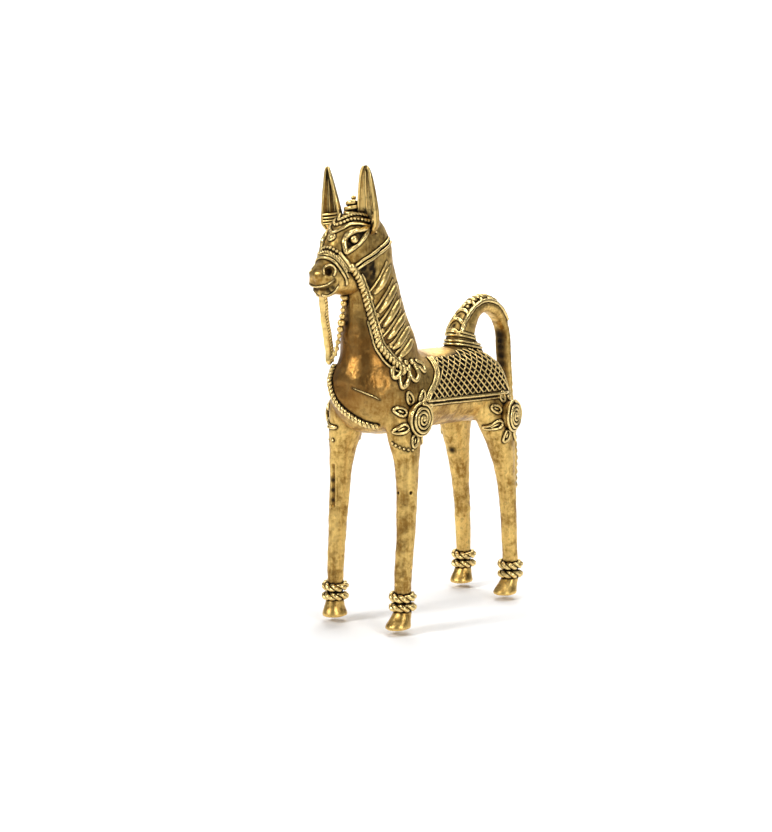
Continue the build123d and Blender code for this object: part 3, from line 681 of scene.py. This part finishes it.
for name, (side, _, ankle, top, stance, _, _) in legs.items():
    front = name.startswith("front")
    turn = 0 if front else hip_turn
    out, behind, up = shoulder_place if front else hip_place
    middle = np.array((side * out, top + behind, up))
    outward = np.array((side * math.cos(turn), math.sin(turn), 0))
    ahead = np.cross(Z, outward)
    disc = Wax()
    disc.loft([(middle - outward * depth, Z, ahead, wide, wide) for depth, wide in plate_rows],
              fullness=1)
    set_on(disc, "rosette_plate_" + name, ["rosette_disc_" + name], skin_brass)
    coil = Wax()
    thread(coil, [middle + outward * (.05 + coil_crown * (t / 3.3) ** 2)
                  + (coil_radius - coil_pitch * t)
                  * (math.cos(math.tau * t) * Z + math.sin(math.tau * t) * ahead)
                  for t in np.linspace(0, coil_turns, 60)], coil_thread, laid=False, sides=10)
    thread(coil, [middle - outward * .5 + rim_radius * (math.cos(t) * Z + math.sin(t) * ahead)
                  for t in np.linspace(0, math.tau, 40)], .5, laid=False)
    bead(coil, middle + outward * .35, centre_ball)
    set_on(coil, "rosette_spiral_" + name, ["rosette_coil_" + name])
    petals = Wax()
    for count in range(leaf_count):
        angle = math.tau * (count + .5) / leaf_count
        way = math.cos(angle) * Z + math.sin(angle) * ahead
        loop = leaf_loop(way, np.cross(outward, way), outward, middle)
        stalk, tip = loop[0], loop[8]
        thread(petals, loop, .5, .5)
        thread(petals, [tip * .62 + stalk * .38, tip * .3 + stalk * .7], .42, .25)
    set_on(petals, "rosette_leaves_" + name, ["rosette_petals_" + name])
    wind_anklet(name, np.array((side * stance, ankle, 0)))

# The ears: pinched out of wax sheet into hollow leaves, with a rim and ridges drawn
# up the inside. The left one is a broad blade, and the right one a cone with threads
# across it. Their brass is duller than the threads', as is that of the mane.
ear_brass = cast_brass("ear_brass", worn=(.90, .64, .23, 1), metal=(.31, .17, .040, 1),
                       patina_and_shade_colour=(.014, .008, .003, 1), polish=.22, hollow=.0026, pitted=.12)
ear_half_width, ear_half_depth, bar_half_width = 4.9, 1.9, 4.8
ear_root = ((-.24, .40, .9), (-.1, .72, 1.15))
blade = ((.05, .92, 1.25), (.25, .98, 1.2), (.5, .86, 1.0), (.78, .62, .8), (.94, .38, .5),
         (1, .14, .16))
cone = ((.05, .96, 1.25), (.25, .84, 1.15), (.5, .62, 1.0), (.78, .34, .72), (.95, .16, .4),
        (1, .06, .14))
ears = {"left": (1, (7.2, -40.4, 145.6), (9.0, -44.6, 166.2), -9, blade, ()),
        "right": (-1, (-7.2, -43.6, 145.6), (-9.0, -44.6, 166.2), -2, cone, (13, 15, 17, 19))}
for label, (side, foot, tip, turn, rows, bars) in ears.items():
    foot, tip, turn = np.array(foot), np.array(tip), math.radians(turn)
    facing = np.array((math.sin(turn), -math.cos(turn), 0))
    axis = (tip - foot) / np.linalg.norm(tip - foot)
    across = np.cross(axis, facing)
    leaf, rings, inside = Wax(), [], []
    for at, wide, thick in eased([*ear_root, *rows], 7):
        root = foot + (tip - foot) * at + X * side * 12 * min(0, at)
        cup = max(0, min(1, at * 5))
        ring = []
        for t in np.arange(0, 48) * math.tau / 48:
            w, h = math.cos(t), math.sin(t)
            folds = 1.15 * w * w - 1.0 * cup * (1 - w * w) + .36 * cup * math.cos(15 * w)
            ring.append(root + across * ear_half_width * wide * w
                        + facing * ear_half_depth * thick * (h if h < 0 else h * folds))
        rings.append(ring)
        inside.append((root, wide, thick))
    leaf.rings(rings)

    def in_ear(place, w, rise, half_width=ear_half_width):
        """A point across the ear's hollow at that row."""
        root, wide, thick = inside[place]
        return root + across * half_width * wide * w + facing * ear_half_depth * thick * rise

    row_count = len(inside)
    for w, rise in ((.93, .5), (-.93, .5), (.42, -.35), (0, -.75), (-.45, -.35)):
        at_rim = abs(w) > .9
        places = range(9, row_count - 3, 4) if at_rim else range(20, row_count - 9, 4)
        thread(leaf, [in_ear(place, w, rise) for place in places], .5 if at_rim else .34,
               laid=False)
    for place in bars:
        thread(leaf, [in_ear(place, w, .1 + .5 * w * w, bar_half_width)
                      for w in np.linspace(-.9, .9, 9)], .38, laid=False)
    set_on(leaf, "ear_leaf_" + label, ["ear_" + label], ear_brass)

# The eyes: a ball of wax in each hollow, between an upper lid that runs on towards
# the cheek and a thinner lower one. Both lids are threads pressed on.
upper_lid_marks = [(346, 253), (344.6, 246), (344.6, 240), (348, 234.5), (355, 231), (362, 230),
                   (369, 227)]
lower_lid_marks = [(346, 253), (352, 249), (358, 245), (363, 238.5), (369, 227.5)]


def both(wax, make, marks, *sizes, top=None):
    """The same thread on both sides of the head, from marks in the photograph."""
    line = along(np.array([seen(mark) for mark in marks]), 1.2)
    over = line[line[:, 0] > .6]
    if top or len(over) < len(line):
        joint = [0, *(top or (over[0] + (over[0] - over[1]) * .6)[1:])]
        make(wax, other_side(over[::-1]) + [joint] + list(over), *sizes)
    else:
        make(wax, over, *sizes)
        make(wax, other_side(over), *sizes)


rims = Wax()
both(rims, thread, upper_lid_marks, .95, .4)
both(rims, thread, lower_lid_marks, .75, .5)
set_on(rims, "eye_lids", ["eye_rims"])
balls = Wax()
for spot in [ball, *other_side([ball])]:
    bead(balls, spot, 1.45, 16)
set_on(balls, "eye_balls", ["eyeballs"])

# The browband: a thread, a row of small balls and a thin rope, one above the other
# across the forehead. Each top is where it crosses the middle, back and up.
brow_thread_marks = [(344, 228), (351, 224.3), (361, 224.3), (370, 227.5), (375.5, 232)]
brow_bead_marks = [(345, 222.5), (351, 219.8), (361, 219.8), (368, 221.2)]
brow_rope_marks = [(346, 218), (352, 215.5), (361, 215), (367, 216.5)]


def bead_row(wax, points, radius, gap, rise=.5):
    """Small balls pressed on in a row."""
    for spot in on_skin(along(np.array(points, float), gap), radius * rise):
        bead(wax, spot, radius * (1 + .1 * chance.normal()))


brow = Wax()
both(brow, thread, brow_thread_marks, .55, top=(-51.6, 142.6))
both(brow, bead_row, brow_bead_marks, .6, 1.25, top=(-50.5, 145.4))
both(brow, twist, brow_rope_marks, .6, 2.2, top=(-49, 147.8))
set_on(brow, "brow_threads", ["browband"])

# The noseband: two threads, a thin rope and a row of small balls over the nose, with
# the fine threads that edge the lips and the nostrils below it.
nose_thread_marks = [(315.6, 260), (320.6, 258.1), (328, 258.8), (334.4, 262.5), (338.8, 267.5),
                     (342.5, 273), (345.6, 278.8), (346.2, 284)]
thin_nose_thread_marks = [(317, 256.8), (323.8, 255), (330, 256), (335, 258.8), (340, 263.8),
                          (344, 269.5), (348, 277)]
nose_rope_marks = [(318.5, 254), (325, 252.6), (331.2, 254), (337.5, 258.8), (342.5, 265.5),
                   (346.5, 272)]
nose_bead_marks = [(320.5, 249), (326, 248), (331, 248.2), (335, 250.6), (340, 253.8)]
upper_lip_marks = [(317, 285), (319.5, 286.6), (325, 285.6), (330, 283), (334, 279.5)]
lower_lip_marks = [(323, 295), (327, 295.6), (331, 294), (335, 290.6), (338, 286)]
nostril_rim_marks = [(324, 274), (323.4, 269.5), (326, 266), (330, 265), (334, 267),
                     (335.6, 271.5), (334, 275.5)]
nose = Wax()
both(nose, thread, nose_thread_marks, .5)
both(nose, thread, thin_nose_thread_marks, .38)
both(nose, twist, nose_rope_marks, .62, 2.2)
both(nose, bead_row, nose_bead_marks, .62, 1.25)
both(nose, thread, upper_lip_marks, .3, .1)
both(nose, thread, lower_lip_marks, .42, .1)
both(nose, thread, nostril_rim_marks, .36, .2)
set_on(nose, "noseband_threads", ["noseband"])

# The cheek straps and headstall: pairs of threads laid side by side, the straps down
# from the noseband and the headstall up across the cheek to the ears.
cheek_marks = [(340, 253.8), (343, 257.5), (347, 262.5), (350.5, 268.5)]
thin_cheek_marks = [(338, 256), (341, 260), (345, 265), (349, 271)]
stall_marks = [(354, 271), (363, 264.5), (371.4, 259), (378, 254), (384.7, 249), (390, 241.5)]
thin_stall_marks = [(352, 268), (361, 261), (369.5, 255.5), (377, 250), (383.5, 244.5),
                    (388, 238)]
cheek = Wax()
both(cheek, thread, cheek_marks, .8)
both(cheek, thread, thin_cheek_marks, .45)
set_on(cheek, "cheek_strap_threads", ["cheek_straps"])
stall = Wax()
both(stall, thread, stall_marks, .55)
both(stall, thread, thin_stall_marks, .5)
set_on(stall, "headstall_threads", ["headstall"])

# The forehead's jewel, a ball in a ring of thread, and the topknot between the ears:
# a thread wound in three shrinking turns around a ball, with a bead on top.
jewel_place, jewel_ball, jewel_ring = (0, -54, 142), .9, 1.35
topknot_place, topknot_turns = -41.8, ((149.8, 2.5), (151.6, 2.2), (153.1, 1.6))
jewel = Wax()
place = np.array(ground.find_nearest(Vector(jewel_place))[0])
bead(jewel, place, jewel_ball)
thread(jewel, [place + jewel_ring * (math.cos(t) * X + math.sin(t) * face_ahead)
               for t in np.linspace(0, math.tau, 16)], .42)
set_on(jewel, "forehead_jewel", ["nose_bead"])
knot = Wax()
for level, wide in topknot_turns:
    thread(knot, [(wide * math.cos(t), topknot_place + wide * math.sin(t),
                   level + .4 * math.sin(t + level))
                  for t in np.linspace(0, math.tau * 1.03, 18)], .8, laid=False)
bead(knot, np.array((0, -41.6, 151)), 2.1)
bead(knot, np.array((.2, -41.2, 155.1)), .95)
set_on(knot, "topknot_coil", ["topknot"], ear_brass)

# The mane: broad locks of wax that slant down both sides of the neck, each with a
# thin thread beside it and some with a ball at the end, and a smooth crest behind.
lock_marks = ([(390, 263), (385.5, 273), (379.5, 284), (372.5, 293)],
              [(396, 281), (391.5, 291), (384, 303), (377.5, 312)],
              [(399.5, 296), (395, 306), (388, 317.5), (381.5, 326)],
              [(404, 311), (399, 321), (392, 331), (386, 338)],
              [(408.5, 324), (403, 334), (397, 343), (391, 348)],
              [(412, 337), (407, 346), (402, 352), (398, 356)])
lock_shift, lock_thread_shift = (1.2, 1.6), (-3.4, -1.4)
mane_ball_marks = ((371, 298), (377, 315.5), (382, 331), (390, 346))
crest_line = ((-25, 148), (-21.5, 141.5), (-19.4, 134), (-17.6, 127), (-14.8, 120.8),
              (-12.2, 114), (-9.8, 109.2), (-7.6, 105.4))


def broad_lock(wax, line):
    thread(wax, line, 1.7, -.42, uneven=.04, slim=.6)


def shifted(marks, shift):
    return [(across + shift[0], down + shift[1]) for across, down in marks]


mane = Wax()
for marks in lock_marks:
    both(mane, broad_lock, shifted(marks, lock_shift))
    both(mane, thread, shifted(marks, lock_thread_shift), .45, .2)
for mark in mane_ball_marks:
    place = seen(mark)
    bead(mane, place, 1.0)
    bead(mane, *other_side([place]), 1.0)
set_on(mane, "mane_threads", ["mane_locks"], ear_brass)
crest = Wax()
thread(crest, [(0, y, z) for y, z in crest_line], 1.1, .15, slim=.5)
set_on(crest, "mane_ridge", ["mane_crest"])

# The left rein: a twisted wax rope from the bit's ball down to the shoulder, between
# two thin threads, and the loops and balls of the knot where it is tied.
left_line = np.array([(6.9, -49.9, 130.8), (6.8, -46.5, 127.3), (6.1, -42.7, 122.9),
                      (6.9, -41.2, 117.1), (8.0, -40.4, 113), (9.2, -39.6, 108.6),
                      (10.3, -38.6, 103.3), (11.4, -36.9, 100.6), (12.4, -34.5, 97.8),
                      (13.8, -31.6, 95.5), (15.3, -29, 93.9)])
tie_loop_marks = ([(398, 362), (392.5, 369), (393.5, 378), (399.5, 375), (402, 366)],
                  [(403, 366), (399, 376), (402, 388), (408, 380), (407, 369)],
                  [(408, 366), (409.5, 375), (415, 381), (418, 374), (413.5, 366)],
                  [(413, 364), (419, 368), (424, 372), (421, 364), (415, 361)])
tie_ball_marks = ((399, 359.5), (405, 363), (411, 362), (403, 372))
rein = Wax()
twist(rein, left_line, 1.3, 3.4, 2, .5)
thread(rein, left_line[1:] + np.array((0, 1.9, 1)), .5)
thread(rein, left_line[4:] - np.array((.4, 1.5, 1.4)), .4)
bead(rein, left_line[0], 1.5)
set_on(rein, "rein_rope_left", ["rein_left"])
loops = Wax()
for marks in tie_loop_marks:
    thread(loops, [seen(mark) for mark in marks], .8, .35)
for mark in tie_ball_marks:
    bead(loops, seen(mark), 1.2)
set_on(loops, "rein_tie_left", ["rein_knot_left"])

# The right rein: a thick wax rod that hangs from the jaw to the breast, with a thin
# rope laid along its inner side.
right_line = [(-7.1, -50.6, 123.2), (-7, -49.6, 117.6), (-7.8, -48.3, 112.5),
              (-8.7, -46.1, 107.4), (-9.5, -44.4, 103.2), (-10.1, -43, 99.2),
              (-10.1, -43.1, 96.4)]
right_hook = [(-6.6, -49.8, 129), (-8.6, -50.8, 127.6)]
rein = Wax()
thread(rein, right_hook + right_line, 1.45, laid=False, sides=12, uneven=.05)
twist(rein, np.array(right_line) + np.array((1.3, .2, 0)), .75, 2.4, 2, laid=False)
set_on(rein, "rein_rope_right", ["rein_right"], ear_brass)

# The breast rope and the string of balls: the rope is twisted wax that goes on from
# the right rein round the breast. The balls are threaded on a wax string below the
# jaw and shrink towards the rein.
breast_line = [(-10.1, -43.2, 96), (-9.4, -44.4, 91.5), (-7.3, -45.1, 87.2), (-4.9, -45.3, 83.4),
               (-2.4, -44.5, 80.6), (.4, -43.2, 78.2), (3.1, -41.5, 76.3), (5.9, -39.6, 74.8),
               (8.9, -38.2, 73.4)]
string_line = [(-2, -43.6, 120), (-2.4, -44, 116.7), (-2.8, -44.2, 112.4), (-3.4, -45, 106.7),
               (-3.8, -45.4, 103.9), (-4.5, -45.8, 100.3), (-6.7, -44.8, 98.6), (-8.9, -43.6, 97.8)]
big_balls, small_ball, ball_gap = (1.5, 1.25, 1.0, 1.2, 1.5, 1.25), .95, 2.3
rope = Wax()
twist(rope, breast_line, 1.2, 3.0, 2, .5)
set_on(rope, "breast_rope_threads", ["breast_rope"])
string = Wax()
thread(string, string_line, .5, laid=False)
for count, spot in enumerate(along(string_line, ball_gap)[:-2]):
    bead(string, spot, big_balls[count] if count < len(big_balls) else small_ball)
set_on(string, "bead_string", ["bead_strand"], ear_brass)

# The marks on the breast and front legs: a fine wrinkle that the hand left in the
# wax, and a short row of small balls pressed on across the top of each front leg.
wrinkle_line = [(3.6, -46.2, 88), (7.3, -45, 86.7), (10, -42.8, 85.3), (11.7, -40.4, 83.8)]
leg_row_line = ((13, -35.5, 67.6), (14.6, -34.4, 66.9), (16.7, -33, 65.8), (18.1, -30.2, 65.3))
marks_wax = Wax()
thread(marks_wax, wrinkle_line, .22, -.3, slim=.8)
for side in (1, -1):
    bead_row(marks_wax, [(side * x, y, z) for x, y, z in leg_row_line], .5, 1.5)
made = marks_wax.piece("breast_marks")
made.data.materials.append(thread_brass)
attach(made, "root")

# The tail's trim: a knobbly rope down its outside, doubled threads round its foot,
# and cross threads like a ladder up its front, between two rails.
band_sizes = ((98.6, .5), (99.9, .5), (102, .5), (103.2, .45))
band_middle, band_reach, band_tilt = 22.2, 14, 1.2
rung_places, rail_places = range(18, 58, 5), range(18, 60, 4)
rope = Wax()
twist(rope, [tail_point(place, tail_half_depth) for place in range(30, len(tail_line), 4)],
      1.7, 5.6, 2, .1)
set_on(rope, "tail_rope_threads", ["tail_rope"])
bands = Wax()
for level, radius in band_sizes:
    spots = []
    for t in np.linspace(0, math.tau, 33):
        around = np.array((math.cos(t), math.sin(t), 0))
        start = np.array((0, band_middle, level - band_tilt * math.sin(t))) + around * band_reach
        hit = ground.ray_cast(Vector(start), Vector(-around))[0]
        if hit is not None:
            spots.append(np.array(hit))
    thread(bands, spots, radius)
set_on(bands, "tail_foot_threads", ["tail_foot_bands"])
rungs, rung_gaps = Wax(), []
for place in rung_places:
    middle, wide = tail_point(place, tail_half_depth), 3.4 * tail_line[place][2]
    ahead = np.array((0, *tail_ways[place]))
    thread(rungs, [middle - X * wide - ahead * 1.2, middle + ahead * .3,
                   middle + X * wide - ahead * 1.2], .75, .3)
    rung_gaps.append(middle + ahead * 2)
for side in (1, -1):
    thread(rungs, [tail_point(place, 1.7, side * 3.1) for place in rail_places], .8, .3)
set_on(rungs, "tail_ladder", ["tail_rungs"])

# The patina and painted shade: the skin is darkened in its hollows, beside every thread,
# under the blanket's net and in the corners. This stands for the casting's real dark patina
# there, together with painted shade where less light falls. A dark mark has its place in the
# photograph and its width on the skin, and is painted shadow.
shade_reach, shade_most, blanket_shade_top = .75, .95, 96.8
# Painted shadow behind the jaw and cheek, in the eye corners, in the nostril and mouth, and in the
# leg grooves and pits.
jaw_corner_marks = ((366, 275, 2.6), (368, 284, 2.6), (371, 268, 2.2), (372, 277, 2.0),
                    (364, 268, 2.4), (363, 275, 2.0), (373, 264, 1.8), (366, 291, 2.0),
                    (370, 262, 1.6), (374, 270, 1.6))
eye_corner_marks = ((350, 240, 1.6), (354, 244, 1.8), (349, 247, 1.4), (361, 235, 1.5))
muzzle_marks = ((329, 271.5, 1.6), (328, 290.5, 1.2), (333, 287.6, 1.1))
leg_marks = ((333, 480, 1.0), (333, 490, 1.0), (333, 500, .9), (452, 450, 1.6), (398, 493, .6),
             (411, 493, .6))
near = KDTree(len(shadow_casters))
for count, (x, y, z, radius) in enumerate(shadow_casters):
    near.insert((x, y, z), count)
near.balance()
shade_spots = [(*seen(mark), mark[2])
              for mark in (*jaw_corner_marks, *eye_corner_marks, *muzzle_marks, *leg_marks)]
# Painted shade between the tail's rungs and along the mouth.
shade_spots += [(*spot, 1.3) for spot in rung_gaps] + [(*spot, 1.0) for spot in mouth]
# Painted shadow down the inner side of the tail's fall.
shade_spots += [(*tail_point(place, -tail_half_depth), 2.8) for place in range(64, 88, 3)]
shade_spots += [(-x, y, z, wide) for x, y, z, wide in shade_spots]
shade_and_patina = np.zeros(len(skin))
for count, p in enumerate(skin):
    _, which, away = near.find(p)
    gap = away - shadow_casters[which][3]
    shade_and_patina[count] = max(0, min(1, 1.05 - gap / shade_reach)) * shade_most
    x, y, z = p
    # Under the blanket's net the skin is darkened fully, fading out just below the top edge: real
    # dark patina and painted shade between the threads.
    top = blanket_shade_top + spine_rise(y)
    if net_foot + .1 < z < top and front_edge(z) < y < rear_edge(z):
        shade_and_patina[count] = max(shade_and_patina[count], min(1, (top - z) / 1.5 + .2))
# Each spot paints shadow on the skin, fading out over its width.
for x, y, z, wide in shade_spots:
    away = np.linalg.norm(skin - np.array((x, y, z)), axis=1) / wide
    shade_and_patina = np.maximum(shade_and_patina, np.exp(-away**3) * shade_most)
# The painted shade and patina go onto each piece of the body, for its material to read.
for shell, used in shells:
    mark = shell.data.attributes.new("shade_and_patina", "FLOAT", "POINT")
    mark.data.foreach_set("value", shade_and_patina[used])

# The studio: a pale sheet that curves up behind, soft lights, and the camera where
# it stood for the photograph.
sheet_profile = [(-1600, 0), (900, 0), (1300, 30), (1600, 200), (1750, 600), (1800, 1600)]
sheet_half_width = 3000
sheet_way = np.array((-math.sin(camera_turn), math.cos(camera_turn), 0))
sheet = Wax()
columns = eased([sheet_way * away + Z * height for away, height in sheet_profile], 10)
for middle in columns:
    sheet.points.extend((middle - camera_right * sheet_half_width,
                         middle + camera_right * sheet_half_width))
sheet.faces = [(2 * k, 2 * k + 1, 2 * k + 3, 2 * k + 2) for k in range(len(columns) - 1)]
backdrop = sheet.piece("backdrop")
paper = bpy.data.materials.new("pale_paper")
paper.use_nodes = True
paper.node_tree.nodes["Principled BSDF"].inputs["Base Color"].default_value = (.93, .93, .93, 1)
paper.node_tree.nodes["Principled BSDF"].inputs["Roughness"].default_value = .9
backdrop.data.materials.append(paper)


def soft_light(name, place, aim, size, power):
    """A square lamp, placed and aimed in metres."""
    lamp = bpy.data.lights.new(name, "AREA")
    lamp.shape, lamp.size, lamp.energy = "SQUARE", size, power
    made = bpy.data.objects.new(name, lamp)
    made.location = place
    made.rotation_euler = (Vector(aim) - Vector(place)).to_track_quat("-Z", "Y").to_euler()
    bpy.context.scene.collection.objects.link(made)


horse_middle = (0, 0, .09)
soft_light("key", (-.35, -.95, .75), horse_middle, size=.3, power=8)
soft_light("top", (.15, .1, 1.0), horse_middle, size=.45, power=4)
soft_light("side", (1.0, -.25, .5), horse_middle, size=.25, power=4.5)
soft_light("back", (-.7, .9, 1.5), (-1.0, 1.5, .25), size=1.2, power=31)
world = bpy.data.worlds.new("studio")
world.use_nodes = True
world.node_tree.nodes["Background"].inputs["Color"].default_value = (.95, .97, 1, 1)
world.node_tree.nodes["Background"].inputs["Strength"].default_value = .12
bpy.context.scene.world = world
bpy.context.scene.view_settings.view_transform = "Standard"

lens = bpy.data.cameras.new("photo_camera")
lens.sensor_fit, lens.sensor_width = "HORIZONTAL", 36
lens.lens = camera_reach / photo_width * lens.sensor_width
camera = bpy.data.objects.new("photo_camera", lens)
camera.location = (camera_place + muzzle_lead) * .001
camera.rotation_euler = (math.pi / 2 - camera_dip, 0, camera_turn)
bpy.context.scene.collection.objects.link(camera)
bpy.context.scene.camera = camera
